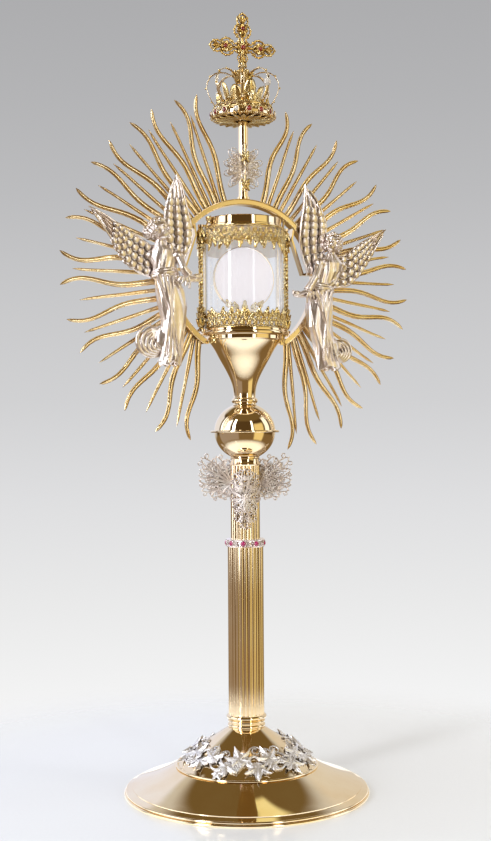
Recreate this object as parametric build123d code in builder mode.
"""Monstrance: a gilded altar vessel with a turned foot and stem, a glass lantern and a sunburst glory.

Millimetres, +Z up. The origin is on the table, under the middle of the foot, and the front faces -Y.
"""

from build123d import *
import os
from math import cos, pi, radians, sin

os.makedirs("parts", exist_ok=True)

# ---------------------------------------------------------------- driving dimensions
foot_radius = 138.0
foot_ledge_radius = 82.0
foot_ledge_height = 30.0
neck_height = 73.0
shaft_foot_height = 88.5
band_height = 276.5
upper_shaft_height = 285.6
upper_collar_height = 368.0
knop_bottom = 378.0
knop_middle = 406.5
knop_top = 436.0
cup_bottom = 446.6
base_bottom = 508.0
chamber_floor = 520.6
chamber_top = 635.0
cap_top = 645.5
glory_centre = 579.0
crown_floor = 758.0
cross_centre = 840.0

lower_shaft_radius = 20.2
upper_shaft_radius = 16.5
lantern_base_radius = 50.4
glass_radius = 43.5
glass_wall = 1.5
column_offset = 51.0
host_radius = 34.5
ring_outer = 89.5
ring_inner = 83.0
rod_radius = 4.0
rod_bore = 4.1
sheet_wall = 2.0
fit_gap = 0.3

# ================================================================ foot
with BuildPart() as foot_rim:
    with BuildSketch(Plane.XZ):
        with BuildLine():
            ThreePointArc((foot_radius - 1.5, 0), (foot_radius, 1.5), (foot_radius - 1.5, 3))
            Line((foot_radius - 1.5, 3), (foot_radius - 3, 3))
            ThreePointArc((foot_radius - 3, 3), (foot_radius - 1.5, 4.5), (foot_radius - 3, 6))
            Polyline(
                (foot_radius - 3, 6),
                (foot_radius - 9, 8.4),
                (foot_radius - 9, 0),
                (foot_radius - 1.5, 0),
            )
        make_face()
    revolve(axis=Axis.Z)
foot_rim.part.label = "foot_rim"
export_step(foot_rim.part, "parts/foot_rim.step")

skirt_radius = foot_radius - 9
with BuildPart() as foot_shell:
    with BuildSketch(Plane.XZ):
        with BuildLine():
            Line((skirt_radius, 1), (skirt_radius, 9.4))
            Spline((skirt_radius, 9.4), (105, 18.6), (foot_ledge_radius, foot_ledge_height))
            Polyline(
                (foot_ledge_radius, foot_ledge_height),
                (72, foot_ledge_height),
                (72, foot_ledge_height - sheet_wall),
                (foot_ledge_radius - 0.5, foot_ledge_height - sheet_wall),
            )
            Spline(
                (foot_ledge_radius - 0.5, foot_ledge_height - sheet_wall),
                (104.5, 16.5),
                (skirt_radius - sheet_wall, 7.8),
            )
            Polyline((skirt_radius - sheet_wall, 7.8), (skirt_radius - sheet_wall, 1), (skirt_radius, 1))
        make_face()
    revolve(axis=Axis.Z)
foot_shell.part.label = "foot_shell"
export_step(foot_shell.part, "parts/foot_shell.step")

neck_radius = 20.5
dome_wall = 2.4
# The dome's outer surface from the ledge up to the neck: radius and height.
dome_profile = (
    (76.5, foot_ledge_height + 2.4),
    (67, foot_ledge_height + 11.5),
    (55, foot_ledge_height + 20.5),
    (40, foot_ledge_height + 30.5),
    (neck_radius, neck_height),
)
with BuildPart() as foot_dome:
    with BuildSketch(Plane.XZ):
        with BuildLine():
            Line((73, foot_ledge_height), (79, foot_ledge_height))
            ThreePointArc(
                (79, foot_ledge_height),
                (80.2, foot_ledge_height + 1.5),
                (78.5, foot_ledge_height + 3),
            )
            Line((78.5, foot_ledge_height + 3), (76.5, foot_ledge_height + 2.4))
            Spline(*dome_profile)
            Line(dome_profile[-1], (neck_radius - 4.5, neck_height))
            Spline(
                (neck_radius - 4.5, neck_height),
                *[(radius - 1, height - dome_wall) for radius, height in reversed(dome_profile[1:-1])],
                (73, foot_ledge_height),
            )
        make_face()
    revolve(axis=Axis.Z)
foot_dome.part.label = "foot_dome"
export_step(foot_dome.part, "parts/foot_dome.step")

# A cast iron weight closes the hollow foot, with a recess below for the nut.
with BuildPart() as foot_base_plate:
    with BuildSketch(Plane.XZ):
        with BuildLine():
            Polyline(
                (13, 1),
                (skirt_radius - sheet_wall - 0.5, 1),
                (skirt_radius - sheet_wall - 0.5, 7),
                (60, 11),
                (26, 12),
                (rod_bore, 12),
                (rod_bore, 8.5),
                (13, 8.5),
                (13, 1),
            )
        make_face()
    revolve(axis=Axis.Z)
foot_base_plate.part.label = "foot_base_plate"
export_step(foot_base_plate.part, "parts/foot_base_plate.step")

with BuildPart() as foot_felt_pad:
    with BuildSketch(Plane.XY):
        Circle(skirt_radius - sheet_wall - 2)
        Circle(16, mode=Mode.SUBTRACT)
    extrude(amount=1)
foot_felt_pad.part.label = "foot_felt_pad"
export_step(foot_felt_pad.part, "parts/foot_felt_pad.step")

with BuildPart() as foot_collar:
    with BuildSketch(Plane.XZ):
        with BuildLine():
            Polyline((rod_bore, neck_height), (19.5, neck_height), (19.5, neck_height + 0.6))
            ThreePointArc((19.5, neck_height + 0.6), (21.2, neck_height + 2.8), (19.5, neck_height + 5))
            Line((19.5, neck_height + 5), (19.5, neck_height + 5.8))
            ThreePointArc((19.5, neck_height + 5.8), (21, neck_height + 7.4), (19.5, neck_height + 9))
            Line((19.5, neck_height + 9), (20.2, neck_height + 10))
            ThreePointArc(
                (20.2, neck_height + 10),
                (22.6, neck_height + 12.4),
                (20.4, shaft_foot_height - 0.8),
            )
            Polyline(
                (20.4, shaft_foot_height - 0.8),
                (20.4, shaft_foot_height),
                (rod_bore, shaft_foot_height),
                (rod_bore, neck_height),
            )
        make_face()
    revolve(axis=Axis.Z)
foot_collar.part.label = "foot_collar"
export_step(foot_collar.part, "parts/foot_collar.step")

# ---------------------------------------------------------------- tie rod that pulls the stack together
rod_bottom = 1.8
with BuildPart() as tie_rod:
    with BuildSketch(Plane.XY.offset(rod_bottom)):
        Circle(rod_radius)
    extrude(amount=base_bottom + 6 - rod_bottom)
    chamfer(tie_rod.edges().group_by(Axis.Z)[-1], length=0.8)
tie_rod.part.label = "tie_rod"
export_step(tie_rod.part, "parts/tie_rod.step")

# The nut and its washer share a node as two separate solids.
with BuildPart() as tie_nut:
    with BuildSketch(Plane.XY.offset(2)):
        RegularPolygon(radius=6.5, side_count=6, major_radius=False)
        Circle(rod_radius, mode=Mode.SUBTRACT)
    extrude(amount=4.95)
    with BuildSketch(Plane.XY.offset(7)):
        Circle(11)
        Circle(rod_bore, mode=Mode.SUBTRACT)
    extrude(amount=1.5)
tie_nut.part.label = "tie_nut"
export_step(tie_nut.part, "parts/tie_nut.step")


# ---------------------------------------------------------------- vine wreath lying on the foot
def foot_slope_height(radius):
    """Height of the dome's outer surface at a radius, good to a millimetre."""
    for (far, low), (near, high) in zip(dome_profile, dome_profile[1:]):
        if radius >= near:
            return low + (high - low) * (far - radius) / (far - near)
    return neck_height


leaf_count = 14
leaf_radius = 63.0
with BuildPart() as vine_wreath:
    for leaf in range(leaf_count):
        turn = leaf * 360 / leaf_count
        reach = leaf_radius + 5 * (-1) ** leaf
        seat = foot_slope_height(reach) + 1.2
        leaf_plane = Plane(
            origin=(reach * cos(radians(turn)), reach * sin(radians(turn)), seat),
            x_dir=(-sin(radians(turn)), cos(radians(turn)), 0),
            z_dir=(0.6 * cos(radians(turn)), 0.6 * sin(radians(turn)), 0.8),
        )
        with BuildSketch(leaf_plane):
            RegularPolygon(radius=10.5, side_count=5, rotation=18 + 36 * (leaf % 2))
        extrude(amount=2.2)
vine_wreath.part.label = "vine_wreath"
export_step(vine_wreath.part, "parts/vine_wreath.step")

# ================================================================ stem
reed_count = 26
with BuildPart() as lower_shaft:
    with BuildSketch(Plane.XY.offset(shaft_foot_height)):
        Circle(lower_shaft_radius - 1.1)
        with PolarLocations(lower_shaft_radius - 2.1, reed_count):
            Circle(2.1)
        Circle(lower_shaft_radius - 5, mode=Mode.SUBTRACT)
    extrude(amount=band_height - shaft_foot_height)
lower_shaft.part.label = "lower_shaft"
export_step(lower_shaft.part, "parts/lower_shaft.step")

stone_count = 9
stone_radius = 2.75
band_radius = 22.0
with BuildPart() as jewel_band:
    with BuildSketch(Plane.XZ):
        with BuildLine():
            Polyline(
                (rod_bore, band_height),
                (band_radius - 1.2, band_height),
                (band_radius, band_height + 1),
                (band_radius - 0.5, band_height + 1.8),
                (band_radius - 0.5, upper_shaft_height - 1.8),
                (band_radius, upper_shaft_height - 1),
                (band_radius - 1.2, upper_shaft_height),
                (rod_bore, upper_shaft_height),
                (rod_bore, band_height),
            )
        make_face()
    revolve(axis=Axis.Z)
    for stone in range(stone_count):
        turn = radians(stone * 360 / stone_count - 90)
        seat = (band_height + upper_shaft_height) / 2
        socket = Plane(origin=(18 * cos(turn), 18 * sin(turn), seat), z_dir=(cos(turn), sin(turn), 0))
        with BuildSketch(socket):
            Circle(stone_radius)
        extrude(amount=6, mode=Mode.SUBTRACT)
jewel_band.part.label = "jewel_band"
export_step(jewel_band.part, "parts/jewel_band.step")

with BuildPart() as band_stones:
    for stone in range(stone_count):
        turn = radians(stone * 360 / stone_count - 90)
        seat = (band_height + upper_shaft_height) / 2
        stone_plane = Plane(origin=(18 * cos(turn), 18 * sin(turn), seat), z_dir=(cos(turn), sin(turn), 0))
        with BuildSketch(stone_plane):
            Circle(stone_radius - 0.02)
        extrude(amount=3.6)
        with BuildSketch(stone_plane.offset(3.6)):
            Circle(stone_radius - 0.02)
        extrude(amount=1.1, taper=35)
band_stones.part.label = "band_stones"
export_step(band_stones.part, "parts/band_stones.step")

upper_reeds = 22
with BuildPart() as upper_shaft:
    with BuildSketch(Plane.XY.offset(upper_shaft_height)):
        Circle(upper_shaft_radius - 1.1)
        with PolarLocations(upper_shaft_radius - 2.1, upper_reeds):
            Circle(2.1)
        Circle(upper_shaft_radius - 5, mode=Mode.SUBTRACT)
    extrude(amount=upper_collar_height - upper_shaft_height)
upper_shaft.part.label = "upper_shaft"
export_step(upper_shaft.part, "parts/upper_shaft.step")

# Filigree collar: a wing on each side, and a palmette with a hanging leaf at the front and the back.
spray_height = upper_collar_height - 17
shaft_clear = upper_shaft_radius + 0.1
spray_plane = Plane.XZ.rotated((0, 0, -20))
with BuildPart() as stem_filigree:
    for side in (-1, 1):
        with BuildSketch(spray_plane):
            with BuildLine():
                Spline(
                    (side * shaft_clear, spray_height - 26),
                    (side * 28, spray_height - 20),
                    (side * 40, spray_height - 8),
                    (side * 50, spray_height + 8),
                    (side * 48, spray_height + 23),
                )
                Spline(
                    (side * 48, spray_height + 23),
                    (side * 36, spray_height + 21),
                    (side * 24, spray_height + 14),
                    (side * shaft_clear, spray_height + 8),
                )
                Line((side * shaft_clear, spray_height + 8), (side * shaft_clear, spray_height - 26))
            make_face()
        extrude(amount=1.1, both=True)
        with BuildSketch(spray_plane.offset(side * (shaft_clear + 1))):
            with BuildLine():
                Spline(
                    (0, spray_height - 60),
                    (9, spray_height - 46),
                    (20, spray_height - 8),
                    (12, spray_height + 10),
                    (0, spray_height + 15),
                )
                mirror(about=Plane.YZ)
            make_face()
        extrude(amount=1, both=True)
stem_filigree.part.label = "stem_filigree"
export_step(stem_filigree.part, "parts/stem_filigree.step")

with BuildPart() as upper_collar:
    with BuildSketch(Plane.XZ):
        with BuildLine():
            Polyline(
                (rod_bore, upper_collar_height),
                (17.2, upper_collar_height),
                (18, upper_collar_height + 1.2),
            )
            Spline(
                (18, upper_collar_height + 1.2),
                (16.2, upper_collar_height + 4.5),
                (15.2, upper_collar_height + 7.4),
            )
            Polyline(
                (15.2, upper_collar_height + 7.4),
                (16.6, upper_collar_height + 8.4),
                (16.6, knop_bottom),
                (rod_bore, knop_bottom),
                (rod_bore, upper_collar_height),
            )
        make_face()
    revolve(axis=Axis.Z)
upper_collar.part.label = "upper_collar"
export_step(upper_collar.part, "parts/upper_collar.step")

# ---------------------------------------------------------------- knop: two spun halves on a flat rim
knop_radius = 34.6
knop_half_height = 32.0
rim_half = 1.3
knop_wall = 1.8
with BuildPart() as knop_lower:
    with BuildSketch(Plane.XZ):
        with Locations((0, knop_middle)):
            Ellipse(knop_radius, knop_half_height)
            Ellipse(knop_radius - knop_wall, knop_half_height - knop_wall, mode=Mode.SUBTRACT)
        with Locations((25, (knop_bottom + knop_middle - rim_half) / 2)):
            Rectangle(40, knop_middle - rim_half - knop_bottom, mode=Mode.INTERSECT)
    revolve(axis=Axis.Z)
knop_lower.part.label = "knop_lower"
export_step(knop_lower.part, "parts/knop_lower.step")

with BuildPart() as knop_upper:
    with BuildSketch(Plane.XZ):
        with Locations((0, knop_middle)):
            Ellipse(knop_radius, knop_half_height)
            Ellipse(knop_radius - knop_wall, knop_half_height - knop_wall, mode=Mode.SUBTRACT)
        with Locations((25, (knop_top + knop_middle + rim_half) / 2)):
            Rectangle(40, knop_top - knop_middle - rim_half, mode=Mode.INTERSECT)
    revolve(axis=Axis.Z)
knop_upper.part.label = "knop_upper"
export_step(knop_upper.part, "parts/knop_upper.step")

with BuildPart() as knop_girdle:
    with BuildSketch(Plane.XY.offset(knop_middle - rim_half)):
        Circle(39)
        Circle(knop_radius - 3, mode=Mode.SUBTRACT)
    extrude(amount=2 * rim_half)
    outer_edges = knop_girdle.edges().filter_by(GeomType.CIRCLE).group_by(SortBy.RADIUS)[-1]
    fillet(outer_edges, radius=1.1)
knop_girdle.part.label = "knop_girdle"
export_step(knop_girdle.part, "parts/knop_girdle.step")

with BuildPart() as neck_ring:
    with BuildSketch(Plane.XZ):
        with BuildLine():
            Polyline((rod_bore, knop_top), (13.8, knop_top), (13.1, knop_top + 1.2), (13.1, knop_top + 2.2))
            ThreePointArc((13.1, knop_top + 2.2), (14.9, knop_top + 5.3), (12.6, knop_top + 8.4))
            Polyline(
                (12.6, knop_top + 8.4),
                (12.6, cup_bottom),
                (rod_bore, cup_bottom),
                (rod_bore, knop_top),
            )
        make_face()
    revolve(axis=Axis.Z)
neck_ring.part.label = "neck_ring"
export_step(neck_ring.part, "parts/neck_ring.step")

cup_wall = 2.6
# Radius and height of the cup's outer surface, foot to lip.
cup_profile = (
    (12.6, cup_bottom),
    (13.3, cup_bottom + 7.4),
    (15.2, cup_bottom + 15.4),
    (19.2, cup_bottom + 24.9),
    (24.4, cup_bottom + 34.5),
    (29.6, cup_bottom + 43.5),
    (34.2, cup_bottom + 52),
    (41, base_bottom),
)
with BuildPart() as cup:
    with BuildSketch(Plane.XZ):
        with BuildLine():
            Line((rod_bore, cup_bottom), cup_profile[0])
            Spline(*cup_profile)
            Line(cup_profile[-1], (cup_profile[-1][0] - 3, base_bottom))
            Spline(
                (cup_profile[-1][0] - 3, base_bottom),
                *[(radius - cup_wall, height + 0.6) for radius, height in reversed(cup_profile[1:-1])],
            )
            Polyline(
                (cup_profile[1][0] - cup_wall, cup_profile[1][1] + 0.6),
                (rod_bore, cup_profile[1][1] + 0.6),
                (rod_bore, cup_bottom),
            )
        make_face()
    revolve(axis=Axis.Z)
cup.part.label = "cup"
export_step(cup.part, "parts/cup.step")

# ================================================================ lantern, fixed part
# The door's bolt stands at the back right and drops into a hole in the base.
bolt_turn = radians(25)
bolt_circle = 47.55
bolt_x = bolt_circle * cos(bolt_turn)
bolt_y = bolt_circle * sin(bolt_turn)
bolt_radius = 1.3
ear_radius = 4.7
ear_height = 2.6
with BuildPart() as lantern_base:
    with BuildSketch(Plane.XZ):
        with BuildLine():
            Polyline((0, base_bottom), (43, base_bottom), (44, base_bottom + 1.6))
            Line((44, base_bottom + 1.6), (44, base_bottom + 5.2))
            Line((44, base_bottom + 5.2), (lantern_base_radius - 0.8, base_bottom + 5.6))
            ThreePointArc(
                (lantern_base_radius - 0.8, base_bottom + 5.6),
                (lantern_base_radius, base_bottom + 8),
                (lantern_base_radius - 0.8, base_bottom + 10.4),
            )
            Polyline(
                (lantern_base_radius - 0.8, base_bottom + 10.4),
                (lantern_base_radius - 1.2, chamber_floor),
                (0, chamber_floor),
                (0, base_bottom),
            )
        make_face()
    revolve(axis=Axis.Z)
    with BuildSketch(Plane.XY.offset(chamber_floor - ear_height)):
        with Locations((column_offset, 0), (-column_offset, 0)):
            Circle(ear_radius)
    extrude(amount=ear_height)
    with BuildSketch(Plane.XY.offset(base_bottom)):
        Circle(rod_radius)
    extrude(amount=6, mode=Mode.SUBTRACT)
    with BuildSketch(Plane.XY.offset(chamber_floor - 5)):
        with Locations((bolt_x, bolt_y)):
            Circle(bolt_radius + 0.15)
    extrude(amount=5, mode=Mode.SUBTRACT)
lantern_base.part.label = "lantern_base"
export_step(lantern_base.part, "parts/lantern_base.step")

column_radius = 3.1
column_top = chamber_top
for side, side_name in ((-1, "left"), (1, "right")):
    with BuildPart() as column:
        with BuildSketch(Plane.XY.offset(chamber_floor)):
            with Locations((side * column_offset, 0)):
                Circle(column_radius)
        extrude(amount=column_top - chamber_floor)
        for knot_bottom in (chamber_floor, column_top - 6):
            with BuildSketch(Plane.XY.offset(knot_bottom)):
                with Locations((side * column_offset, 0)):
                    Circle(ear_radius - 0.3)
            extrude(amount=6)
    column.part.label = "column_" + side_name
    export_step(column.part, "parts/column_" + side_name + ".step")

# The cap is a shallow turned lid, and two ears carry it on the columns.
with BuildPart() as lantern_cap:
    with BuildSketch(Plane.XZ):
        with BuildLine():
            Polyline(
                (0, cap_top),
                (41.6, cap_top),
                (42.6, cap_top - 1),
                (42.6, chamber_top + 2.4),
                (43.6, chamber_top + 1.6),
                (43.6, chamber_top),
                (39.5, chamber_top),
                (39.5, cap_top - 3),
                (0, cap_top - 3),
                (0, cap_top),
            )
        make_face()
    revolve(axis=Axis.Z)
    with BuildSketch(Plane.XY.offset(column_top)):
        with Locations((column_offset - 5.5, 0), (-column_offset + 5.5, 0)):
            Rectangle(10, 7)
        with Locations((column_offset - 0.6, 0), (-column_offset + 0.6, 0)):
            Circle(4)
        Circle(41, mode=Mode.SUBTRACT)
    extrude(amount=2.4)
lantern_cap.part.label = "lantern_cap"
export_step(lantern_cap.part, "parts/lantern_cap.step")

# The glass cylinder is split in two: the front half is fixed and the back half is the door.
front_reach = 3.0
# Blocks wider and deeper than the lantern that keep only its front or its back half.
mask_width = 120.0
mask_depth = 100.0
with BuildPart() as front_glass:
    with BuildSketch(Plane.XY.offset(chamber_floor)):
        Circle(glass_radius)
        Circle(glass_radius - glass_wall, mode=Mode.SUBTRACT)
        with Locations((0, front_reach - mask_depth / 2)):
            Rectangle(mask_width, mask_depth, mode=Mode.INTERSECT)
    extrude(amount=chamber_top - chamber_floor)
front_glass.part.label = "front_glass"
export_step(front_glass.part, "parts/front_glass.step")

gallery_inner = glass_radius + 0.1
gallery_outer = glass_radius + 2.4
lower_gallery_height = 24.0
upper_gallery_height = 28.0
with BuildPart() as lower_gallery:
    with BuildSketch(Plane.XY.offset(chamber_floor)):
        Circle(gallery_outer)
        Circle(gallery_inner, mode=Mode.SUBTRACT)
        with Locations((0, front_reach - mask_depth / 2)):
            Rectangle(mask_width, mask_depth, mode=Mode.INTERSECT)
    extrude(amount=lower_gallery_height)
lower_gallery.part.label = "lower_gallery"
export_step(lower_gallery.part, "parts/lower_gallery.step")

with BuildPart() as upper_gallery:
    with BuildSketch(Plane.XY.offset(chamber_top - upper_gallery_height)):
        Circle(gallery_outer)
        Circle(gallery_inner, mode=Mode.SUBTRACT)
        with Locations((0, front_reach - mask_depth / 2)):
            Rectangle(mask_width, mask_depth, mode=Mode.INTERSECT)
    extrude(amount=upper_gallery_height)
upper_gallery.part.label = "upper_gallery"
export_step(upper_gallery.part, "parts/upper_gallery.step")

# ================================================================ rear door
hinge_x = -50.0
hinge_y = 9.0
knuckle_radius = 2.6
pin_radius = 1.2
door_bottom = chamber_floor + fit_gap
door_top = chamber_top - fit_gap
door_inner = glass_radius - glass_wall
door_edge = 3.5
lower_knuckle = door_bottom + 12.0
upper_knuckle = door_top - 26.0
knuckle_length = 7.0

with BuildPart() as door_glass:
    with BuildSketch(Plane.XY.offset(door_bottom + 3)):
        Circle(glass_radius - 0.05)
        Circle(door_inner, mode=Mode.SUBTRACT)
        with Locations((0, mask_depth / 2 + door_edge)):
            Rectangle(mask_width, mask_depth, mode=Mode.INTERSECT)
    extrude(amount=door_top - door_bottom - 6)
door_glass.part.label = "door_glass"
export_step(door_glass.part, "parts/door_glass.step")

with BuildPart() as door_frame:
    with BuildSketch(Plane.XY.offset(door_bottom)):
        Circle(gallery_outer)
        Circle(glass_radius, mode=Mode.SUBTRACT)
        with Locations((0, mask_depth / 2 + door_edge)):
            Rectangle(mask_width, mask_depth, mode=Mode.INTERSECT)
    extrude(amount=door_top - door_bottom)
    # Window between the lower and the upper band and the two stiles.
    with BuildSketch(Plane.XZ.offset(-door_edge - 4)):
        with Locations((0, (door_bottom + lower_gallery_height + door_top - upper_gallery_height) / 2)):
            Rectangle(mask_width, door_top - upper_gallery_height - door_bottom - lower_gallery_height)
    extrude(amount=-60, mode=Mode.SUBTRACT)
    # Lips that hold the glass from below and above.
    for lip_height in (door_bottom, door_top - 2.8):
        with BuildSketch(Plane.XY.offset(lip_height)):
            Circle(glass_radius + 1)
            Circle(door_inner, mode=Mode.SUBTRACT)
            with Locations((0, mask_depth / 2 + door_edge)):
                Rectangle(mask_width, mask_depth, mode=Mode.INTERSECT)
        extrude(amount=2.8)
    # Hinge knuckles on short arms.
    for knuckle_height in (lower_knuckle, upper_knuckle):
        with BuildSketch(Plane.XY.offset(knuckle_height)):
            with Locations((hinge_x, hinge_y)):
                Circle(knuckle_radius)
            with Locations((hinge_x + 3.2, hinge_y)):
                Rectangle(6.4, 2.6)
        extrude(amount=knuckle_length)
        with BuildSketch(Plane.XY.offset(knuckle_height)):
            with Locations((hinge_x, hinge_y)):
                Circle(pin_radius + 0.05)
            Circle(glass_radius, mode=Mode.ADD)
        extrude(amount=knuckle_length, mode=Mode.SUBTRACT)
    # Guides for the bolt, above and below its knob.
    for guide_height in (door_bottom + 0.4, door_bottom + 15.4):
        with BuildSketch(Plane.XY.offset(guide_height)):
            with Locations((bolt_x, bolt_y)):
                Circle(2.3)
            Circle(glass_radius, mode=Mode.SUBTRACT)
            with Locations((bolt_x, bolt_y)):
                Circle(bolt_radius + 0.05, mode=Mode.SUBTRACT)
        extrude(amount=3)
        with BuildSketch(Plane.XY.offset(guide_height)):
            with Locations((bolt_x, bolt_y)):
                Circle(bolt_radius + 0.05)
        extrude(amount=3, mode=Mode.SUBTRACT)
door_frame.part.label = "door_frame"
export_step(door_frame.part, "parts/door_frame.step")

# Fixed hinge leaves: an arm from each column end reaches back to the pin.
with BuildPart() as door_hinge_leaves:
    for knuckle_height in (lower_knuckle, upper_knuckle):
        for leaf_bottom in (knuckle_height - fit_gap - 5, knuckle_height + knuckle_length + fit_gap):
            with BuildSketch(Plane.XY.offset(leaf_bottom)):
                with Locations((hinge_x, hinge_y)):
                    Circle(knuckle_radius)
                with Locations((hinge_x - 0.9, hinge_y / 2 + 1.2)):
                    Rectangle(2.2, hinge_y - 1.6)
                with Locations((-column_offset, 0)):
                    Circle(column_radius, mode=Mode.SUBTRACT)
                with Locations((hinge_x, hinge_y)):
                    Circle(pin_radius, mode=Mode.SUBTRACT)
            extrude(amount=5)
door_hinge_leaves.part.label = "door_hinge_leaves"
export_step(door_hinge_leaves.part, "parts/door_hinge_leaves.step")

with BuildPart() as door_hinge_pins:
    for knuckle_height in (lower_knuckle, upper_knuckle):
        with BuildSketch(Plane.XY.offset(knuckle_height - fit_gap - 5)):
            with Locations((hinge_x, hinge_y)):
                Circle(pin_radius)
        extrude(amount=knuckle_length + 2 * fit_gap + 10)
door_hinge_pins.part.label = "door_hinge_pins"
export_step(door_hinge_pins.part, "parts/door_hinge_pins.step")

# Bolt with a turned knob: raised at rest, it drops four millimetres into the base to lock the door.
bolt_tip = chamber_floor + 0.6
bolt_length = 21.0
knob_height = bolt_tip + 8.5
with BuildPart() as door_bolt:
    with BuildSketch(Plane.XY.offset(bolt_tip)):
        with Locations((bolt_x, bolt_y)):
            Circle(bolt_radius)
    extrude(amount=bolt_length)
    knob_plane = Plane(origin=(bolt_x, bolt_y, knob_height), z_dir=(cos(bolt_turn), sin(bolt_turn), 0))
    with BuildSketch(knob_plane):
        Circle(1.1)
    extrude(amount=5)
    with BuildSketch(knob_plane.offset(4)):
        Circle(2.8)
    extrude(amount=3.4)
    fillet(door_bolt.edges().filter_by(GeomType.CIRCLE).group_by(SortBy.RADIUS)[-1], radius=1.2)
door_bolt.part.label = "door_bolt"
export_step(door_bolt.part, "parts/door_bolt.step")

# ================================================================ luna and its slide
luna_front = -3.0
luna_rim_wall = 0.8
luna_rim_radius = host_radius + 1.5
luna_foot_height = 6.0
with BuildPart() as luna_track:
    for side in (-1, 1):
        with BuildSketch(Plane.XY.offset(chamber_floor)):
            with Locations((side * 11.5, 5)):
                Rectangle(3, 44)
        extrude(amount=4)
luna_track.part.label = "luna_track"
export_step(luna_track.part, "parts/luna_track.step")

crescent_bottom = chamber_floor + luna_foot_height
luna_bottom = glory_centre - luna_rim_radius
with BuildPart() as luna_foot:
    with BuildSketch(Plane.XY.offset(chamber_floor)):
        Rectangle(19.4, 16)
    extrude(amount=luna_foot_height)
    with BuildSketch(Plane.XY.offset(crescent_bottom)):
        with Locations((0, -1.5)):
            Rectangle(15, 3)
    extrude(amount=luna_bottom - crescent_bottom - 2.5)
luna_foot.part.label = "luna_foot"
export_step(luna_foot.part, "parts/luna_foot.step")

crescent_wall = 2.4
with BuildPart() as luna_crescent:
    with BuildSketch(Plane.XZ.offset(-luna_front - 3)):
        with Locations((0, glory_centre)):
            Circle(luna_rim_radius + crescent_wall)
            Circle(luna_rim_radius, mode=Mode.SUBTRACT)
        with Locations((0, glory_centre - luna_rim_radius)):
            Rectangle(44, 22, mode=Mode.INTERSECT)
    extrude(amount=3)
luna_crescent.part.label = "luna_crescent"
export_step(luna_crescent.part, "parts/luna_crescent.step")

with BuildPart() as luna_front_rim:
    with BuildSketch(Plane.XZ.offset(-luna_front - 3)):
        with Locations((0, glory_centre)):
            Circle(luna_rim_radius)
            Circle(luna_rim_radius - luna_rim_wall, mode=Mode.SUBTRACT)
    extrude(amount=3)
luna_front_rim.part.label = "luna_front_rim"
export_step(luna_front_rim.part, "parts/luna_front_rim.step")

with BuildPart() as luna_front_glass:
    with BuildSketch(Plane.XZ.offset(1.8)):
        with Locations((0, glory_centre)):
            Circle(luna_rim_radius - luna_rim_wall)
    extrude(amount=1)
luna_front_glass.part.label = "luna_front_glass"
export_step(luna_front_glass.part, "parts/luna_front_glass.step")

with BuildPart() as host:
    with BuildSketch(Plane.XZ.offset(0.4)):
        with Locations((0, glory_centre)):
            Circle(host_radius)
    extrude(amount=1.2)
host.part.label = "host"
export_step(host.part, "parts/host.step")

lid_front = 0.6
lid_hinge_height = luna_bottom - 2.6
with BuildPart() as luna_rear_rim:
    with BuildSketch(Plane.XZ.offset(-lid_front - 2.4)):
        with Locations((0, glory_centre)):
            Circle(luna_rim_radius)
            Circle(luna_rim_radius - luna_rim_wall, mode=Mode.SUBTRACT)
    extrude(amount=2.4)
    with BuildSketch(Plane.YZ.offset(-4)):
        with Locations((lid_front + 1.4, lid_hinge_height)):
            Circle(1.4)
        with Locations((lid_front + 1.4, lid_hinge_height + 1.4)):
            Rectangle(1.6, 2.8)
    extrude(amount=8)
    with BuildSketch(Plane.XZ.offset(-lid_front - 2.4)):
        with Locations((0, glory_centre)):
            Circle(luna_rim_radius - luna_rim_wall)
    extrude(amount=2.4, mode=Mode.SUBTRACT)
    with BuildSketch(Plane.YZ.offset(-4)):
        with Locations((lid_front + 1.4, lid_hinge_height)):
            Circle(0.65)
    extrude(amount=8, mode=Mode.SUBTRACT)
luna_rear_rim.part.label = "luna_rear_rim"
export_step(luna_rear_rim.part, "parts/luna_rear_rim.step")

with BuildPart() as luna_rear_glass:
    with BuildSketch(Plane.XZ.offset(-lid_front - 1.6)):
        with Locations((0, glory_centre)):
            Circle(luna_rim_radius - luna_rim_wall)
    extrude(amount=1)
luna_rear_glass.part.label = "luna_rear_glass"
export_step(luna_rear_glass.part, "parts/luna_rear_glass.step")

# The lid's pin runs between two small lugs that stand on the crescent.
with BuildPart() as luna_hinge_pin:
    with BuildSketch(Plane.YZ.offset(-7)):
        with Locations((lid_front + 1.4, lid_hinge_height)):
            Circle(0.6)
    extrude(amount=14)
    for lug in (-7, 4.4):
        with BuildSketch(Plane.YZ.offset(lug)):
            with Locations((lid_front + 1.4, lid_hinge_height)):
                Circle(1.3)
            with Locations((lid_front / 2 + 0.7, lid_hinge_height)):
                Rectangle(lid_front + 1.4, 2.2)
        extrude(amount=2.6)
luna_hinge_pin.part.label = "luna_hinge_pin"
export_step(luna_hinge_pin.part, "parts/luna_hinge_pin.step")

# ================================================================ glory: ring and rays
ring_front = -5.0
ring_back = 7.0
ring_end_angle = 33.5
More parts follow.
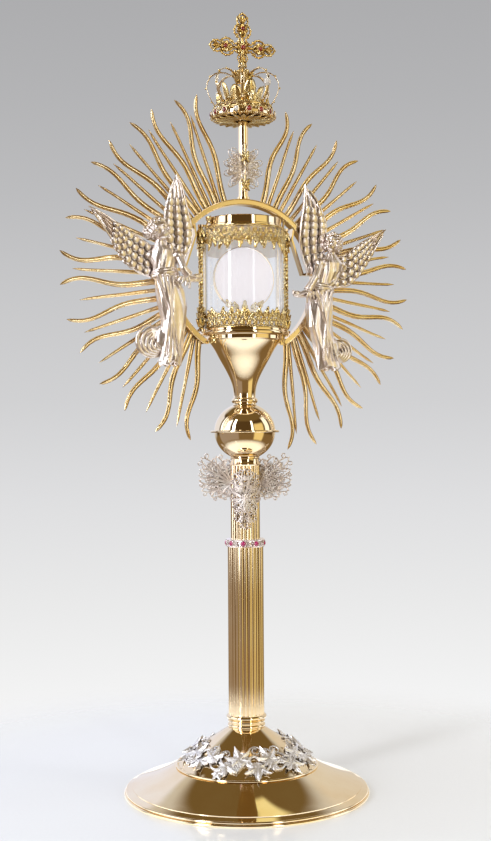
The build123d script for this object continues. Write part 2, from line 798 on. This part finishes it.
# Corners of the wedge, well outside the ring, that opens it below.
wedge_x = 200.0 * sin(radians(ring_end_angle))
wedge_height = glory_centre - 200.0 * cos(radians(ring_end_angle))
with BuildPart() as glory_ring:
    with BuildSketch(Plane.XZ.offset(-ring_back)):
        with Locations((0, glory_centre)):
            Circle(ring_outer)
            Circle(ring_inner, mode=Mode.SUBTRACT)
        with BuildLine():
            Polyline(
                (0, glory_centre),
                (wedge_x, wedge_height),
                (-wedge_x, wedge_height),
                (0, glory_centre),
            )
        make_face(mode=Mode.SUBTRACT)
    extrude(amount=ring_back - ring_front)
    with BuildSketch(Plane.XY.offset(base_bottom - 3.4)):
        with Locations((46, 1), (-46, 1)):
            Rectangle(6, 9)
    extrude(amount=3.4)
glory_ring.part.label = "glory_ring"
export_step(glory_ring.part, "parts/glory_ring.step")

ray_thickness = 3.0
straight_thickness = 2.0
# The straight rays stand in a second row, just behind the wavy ones.
straight_depth = ray_thickness / 2 + 0.1
wavy_count = 16
wavy_reach = 203.0
straight_reach = 184.0
wavy_root_width = 5.4
straight_root_width = 3.6
wave_turns = 1.14
wave_height = 8.5


def left_angle(place):
    """Angle above the horizontal of a ray on the left, at a place counted from the top."""
    return 75 - 7.3 * place - 0.16 * place**2


def right_angle(place):
    """Angle above the horizontal of a ray on the right, at a place counted from the top."""
    return 75 - 10 * place


def root_angle(angle):
    """Angle of a ray's root on the ring: the lowest rays crowd together above the ring's open ends."""
    return angle if angle > -20 else -20 + (angle + 20) * 0.64


def ray_outline(angle, side, reach, wave, root_width):
    """The two edges of a ray, root to tip, in the plane of the glory."""
    root = Vector(cos(radians(root_angle(angle))), sin(radians(root_angle(angle)))) * (ring_outer - 2)
    tip = Vector(cos(radians(angle)), sin(radians(angle))) * reach
    along = (tip - root).normalized()
    across = Vector(-along.Y, along.X)
    edges = ([], [])
    for share in (0, 0.2, 0.4, 0.6, 0.8, 1.0):
        middle = root + (tip - root) * share
        middle += across * (wave * share**1.3 * sin(2 * pi * wave_turns * (share - 1)))
        half_width = root_width / 2 * (1 - 0.86 * share**1.7)
        for edge, sense in zip(edges, (1, -1)):
            point = middle + across * (sense * half_width)
            edge.append((side * point.X, glory_centre + point.Y))
    return edges


for side, side_name, angle_of, lean in ((-1, "left", left_angle, 6.0), (1, "right", right_angle, -4.0)):
    with BuildPart() as wavy_rays:
        for place in range(wavy_count):
            angle = angle_of(place)
            reach = wavy_reach + lean * sin(radians(angle)) - (7 if place == wavy_count - 1 else 0)
            wave = wave_height * (-1) ** place
            upper, lower = ray_outline(angle, side, reach, wave, wavy_root_width)
            with BuildSketch(Plane.XZ):
                with BuildLine():
                    Spline(*upper)
                    Line(upper[-1], lower[-1])
                    Spline(*reversed(lower))
                    Line(lower[0], upper[0])
                make_face()
            extrude(amount=ray_thickness / 2, both=True)
        with BuildSketch(Plane.XZ):
            with Locations((0, glory_centre)):
                Circle(ring_outer)
        extrude(amount=ray_thickness, both=True, mode=Mode.SUBTRACT)
    wavy_rays.part.label = "rays_wavy_" + side_name
    export_step(wavy_rays.part, "parts/rays_wavy_" + side_name + ".step")

    with BuildPart() as straight_rays:
        for place in range(wavy_count - 1):
            angle = angle_of(place + 0.5)
            reach = straight_reach + lean / 2 * sin(radians(angle))
            upper, lower = ray_outline(angle, side, reach, 0, straight_root_width)
            with BuildSketch(Plane.XZ.offset(-straight_depth)):
                with BuildLine():
                    Polyline(upper[0], upper[2], upper[-1], lower[-1], lower[2], lower[0], upper[0])
                make_face()
            extrude(amount=-straight_thickness)
        with BuildSketch(Plane.XZ.offset(-straight_depth)):
            with Locations((0, glory_centre)):
                Circle(ring_outer)
        extrude(amount=-straight_thickness, mode=Mode.SUBTRACT)
    straight_rays.part.label = "rays_straight_" + side_name
    export_step(straight_rays.part, "parts/rays_straight_" + side_name + ".step")

# ---------------------------------------------------------------- angels and their brackets
angel_depth = -17.0
wing_front = -10.0
bracket_width = 9.0
shelf_bottom = glory_centre + 5.0
with BuildPart() as angel_brackets:
    for side in (-1, 1):
        with BuildSketch(Plane.XZ.offset(-5)):
            with BuildLine():
                Polyline(
                    (side * 58.2, glory_centre + 59),
                    (side * 56.6, glory_centre + 46),
                    (side * 70, glory_centre + 6),
                    (side * 79, glory_centre + 6),
                    (side * 79, glory_centre + 8),
                    (side * 71.4, glory_centre + 8),
                    (side * 58.6, glory_centre + 46.4),
                    (side * 60.2, glory_centre + 56.8),
                    (side * 58.2, glory_centre + 59),
                )
            make_face()
        extrude(amount=bracket_width)
        # A shelf steps forward inside the ring and runs out across its face to the figure's back.
        with BuildSketch(Plane.XY.offset(shelf_bottom)):
            with Locations((side * 76, -7.7)):
                Rectangle(8, 9.4)
            with Locations((side * 85.5, -8.8)):
                Rectangle(11, 7.2)
        extrude(amount=3)
angel_brackets.part.label = "angel_brackets"
export_step(angel_brackets.part, "parts/angel_brackets.step")

# Height from the glory's centre, distance of the figure's middle from the axis, half width, half depth.
angel_sections = (
    (-103, 98, 14, 7),
    (-81, 92, 15, 8),
    (-43, 87, 14, 8),
    (-15, 89, 13, 8),
    (1, 94, 10, 7),
    (17, 100, 13, 8),
    (30, 103, 12, 6),
)
wing_inner_outline = (
    (100, 28),
    (94, 50),
    (85, 80),
    (75.5, 108.5),
    (67, 84),
    (61.5, 54),
    (66, 29),
    (80, 10),
    (94, 17),
)
wing_outer_outline = (
    (106, 26),
    (122, 34),
    (146, 48),
    (172, 66),
    (160, 42),
    (150, 20),
    (136, 2),
    (114, -7),
)
for side, side_name in ((-1, "left"), (1, "right")):
    with BuildPart() as angel:
        for height, middle, half_width, half_depth in angel_sections:
            with BuildSketch(Plane.XY.offset(glory_centre + height)):
                with Locations((side * middle, angel_depth)):
                    Ellipse(half_width, half_depth)
        loft(ruled=True)
        with BuildSketch(Plane.XY.offset(glory_centre + 29)):
            with Locations((side * 105, angel_depth)):
                Circle(3.6)
        extrude(amount=9)
        with Locations((side * 105.5, angel_depth, glory_centre + 44)):
            Sphere(9.2)
        shoulder = (side * 96, angel_depth - 2, glory_centre + 15)
        arm_plane = Plane(origin=shoulder, z_dir=(side * -33, -3, -26))
        with BuildSketch(arm_plane):
            Circle(5)
        with BuildSketch(arm_plane.offset(41)):
            Circle(3.2)
        loft()
    angel.part.label = "angel_" + side_name
    export_step(angel.part, "parts/angel_" + side_name + ".step")

    with BuildPart() as wings:
        for outline in (wing_inner_outline, wing_outer_outline):
            with BuildSketch(Plane.XZ.offset(-wing_front)):
                with BuildLine():
                    Polyline(*[(side * x, glory_centre + z) for x, z in outline], close=True)
                make_face()
            extrude(amount=-3)
    wings.part.label = "angel_wings_" + side_name
    export_step(wings.part, "parts/angel_wings_" + side_name + ".step")

# ================================================================ crown and cross
stem_radius = 5.6
ring_crest = glory_centre + ring_outer
with BuildPart() as crown_stem:
    with BuildSketch(Plane.XY.offset(ring_crest)):
        Circle(stem_radius)
    extrude(amount=crown_floor - ring_crest)
    with BuildSketch(Plane.XY.offset(ring_crest)):
        Circle(stem_radius + 1.6)
    extrude(amount=2.4)
crown_stem.part.label = "crown_stem"
export_step(crown_stem.part, "parts/crown_stem.step")

plate_root = stem_radius + 0.1
plate_bottom = ring_crest + 4.5
with BuildPart() as stem_rosette:
    for side in (-1, 1):
        with BuildSketch(Plane.XZ):
            with BuildLine():
                Spline(
                    (side * plate_root, plate_bottom),
                    (side * 14, plate_bottom + 5),
                    (side * 22, plate_bottom + 25),
                    (side * 21, plate_bottom + 41),
                )
                Spline(
                    (side * 21, plate_bottom + 41),
                    (side * 14, plate_bottom + 55),
                    (side * plate_root, plate_bottom + 64),
                )
                Line((side * plate_root, plate_bottom + 64), (side * plate_root, plate_bottom))
            make_face()
        extrude(amount=1.2, both=True)
stem_rosette.part.label = "stem_rosette"
export_step(stem_rosette.part, "parts/stem_rosette.step")

with BuildPart() as rosette_flowers:
    for flower_height, flower_radius in ((plate_bottom + 43, 4.5), (plate_bottom + 11, 5.0)):
        with BuildSketch(Plane.XZ.offset(stem_radius + 0.1)):
            with Locations((0, flower_height)):
                with PolarLocations(flower_radius * 0.5, 5):
                    Circle(flower_radius * 0.5)
        extrude(amount=2.4)
rosette_flowers.part.label = "rosette_flowers"
export_step(rosette_flowers.part, "parts/rosette_flowers.step")

crown_radius = 34.0
band_top = crown_floor + 15.0
with BuildPart() as crown_band:
    with BuildSketch(Plane.XZ):
        with BuildLine():
            Polyline(
                (0, crown_floor),
                (crown_radius - 1, crown_floor),
                (crown_radius + 2, crown_floor + 2),
                (crown_radius + 1.6, crown_floor + 5),
                (crown_radius - 2.6, band_top - 3),
                (crown_radius - 1.6, band_top),
                (crown_radius - 4.6, band_top),
                (crown_radius - 4.6, crown_floor + 3.4),
                (5, crown_floor + 3.4),
                (3.2, crown_floor + 10),
                (3.2, crown_floor + 41),
            )
            ThreePointArc((3.2, crown_floor + 41), (8, crown_floor + 48), (3.2, crown_floor + 55))
            Polyline((3.2, crown_floor + 55), (0, crown_floor + 55), (0, crown_floor))
        make_face()
    revolve(axis=Axis.Z)
crown_band.part.label = "crown_band"
export_step(crown_band.part, "parts/crown_band.step")

arch_count = 8
arch_phase = 25.0
with BuildPart() as crown_arches:
    for arch in range(arch_count):
        turn = radians(arch * 360 / arch_count + arch_phase)
        arch_plane = Plane(
            origin=(0, 0, 0),
            x_dir=(cos(turn), sin(turn), 0),
            z_dir=(sin(turn), -cos(turn), 0),
        )
        with BuildSketch(arch_plane):
            with BuildLine():
                Spline(
                    (31.8, band_top),
                    (41.8, crown_floor + 38),
                    (36, crown_floor + 50),
                    (25, crown_floor + 55),
                    (14, crown_floor + 52),
                    (8.6, crown_floor + 48.6),
                )
                Line((8.6, crown_floor + 48.6), (8.3, crown_floor + 46.6))
                Spline(
                    (8.3, crown_floor + 46.6),
                    (14.6, crown_floor + 50),
                    (25, crown_floor + 53),
                    (34.6, crown_floor + 48.6),
                    (40, crown_floor + 38),
                    (30.2, band_top),
                )
                Line((30.2, band_top), (31.8, band_top))
            make_face()
        extrude(amount=2.2, both=True)
crown_arches.part.label = "crown_arches"
export_step(crown_arches.part, "parts/crown_arches.step")

with BuildPart() as crown_fleurons:
    for fleuron in range(arch_count):
        turn = radians((fleuron + 0.5) * 360 / arch_count + arch_phase)
        fleuron_plane = Plane(
            origin=(31.3 * cos(turn), 31.3 * sin(turn), band_top),
            x_dir=(-sin(turn), cos(turn), 0),
            z_dir=(cos(turn), sin(turn), 0),
        )
        with BuildSketch(fleuron_plane):
            with BuildLine():
                Spline((-3, 0), (-7, 9), (-4, 15), (0, 19))
                Spline((0, 19), (4, 15), (7, 9), (3, 0))
                Line((3, 0), (-3, 0))
            make_face()
        extrude(amount=0.7, both=True)
crown_fleurons.part.label = "crown_fleurons"
export_step(crown_fleurons.part, "parts/crown_fleurons.step")

with BuildPart() as finial_cross:
    with BuildSketch(Plane.XZ):
        with BuildLine():
            Polyline(
                (-3, crown_floor + 55),
                (3, crown_floor + 55),
                (3.2, cross_centre - 9),
                (9, cross_centre - 3.6),
                (20, cross_centre - 8.5),
                (35, cross_centre - 4.5),
                (39, cross_centre),
                (35, cross_centre + 4.5),
                (20, cross_centre + 8.5),
                (9, cross_centre + 3.6),
                (3.6, cross_centre + 9),
                (9, cross_centre + 20),
                (6, cross_centre + 31),
                (0, cross_centre + 38),
                (-6, cross_centre + 31),
                (-9, cross_centre + 20),
                (-3.6, cross_centre + 9),
                (-9, cross_centre + 3.6),
                (-20, cross_centre + 8.5),
                (-35, cross_centre + 4.5),
                (-39, cross_centre),
                (-35, cross_centre - 4.5),
                (-20, cross_centre - 8.5),
                (-9, cross_centre - 3.6),
                (-3.2, cross_centre - 9),
                (-3, crown_floor + 55),
            )
        make_face()
    extrude(amount=2, both=True)
finial_cross.part.label = "finial_cross"
export_step(finial_cross.part, "parts/finial_cross.step")

with BuildPart() as crown_stones:
    for place_x, place_z in ((0, 0), (-24, 0), (24, 0), (0, 24)):
        with BuildSketch(Plane.XZ.offset(2.02)):
            with Locations((place_x, cross_centre + place_z)):
                Circle(2.4)
        extrude(amount=1.6, taper=20)
    stone_seat = crown_radius + 2.05
    for stone in range(2 * arch_count):
        turn = radians((stone + 0.5) * 180 / arch_count + arch_phase)
        stone_plane = Plane(
            origin=(stone_seat * cos(turn), stone_seat * sin(turn), crown_floor + 5),
            z_dir=(cos(turn), sin(turn), 0),
        )
        with BuildSketch(stone_plane):
            Circle(2.2)
        extrude(amount=2, taper=20)
crown_stones.part.label = "crown_stones"
export_step(crown_stones.part, "parts/crown_stones.step")
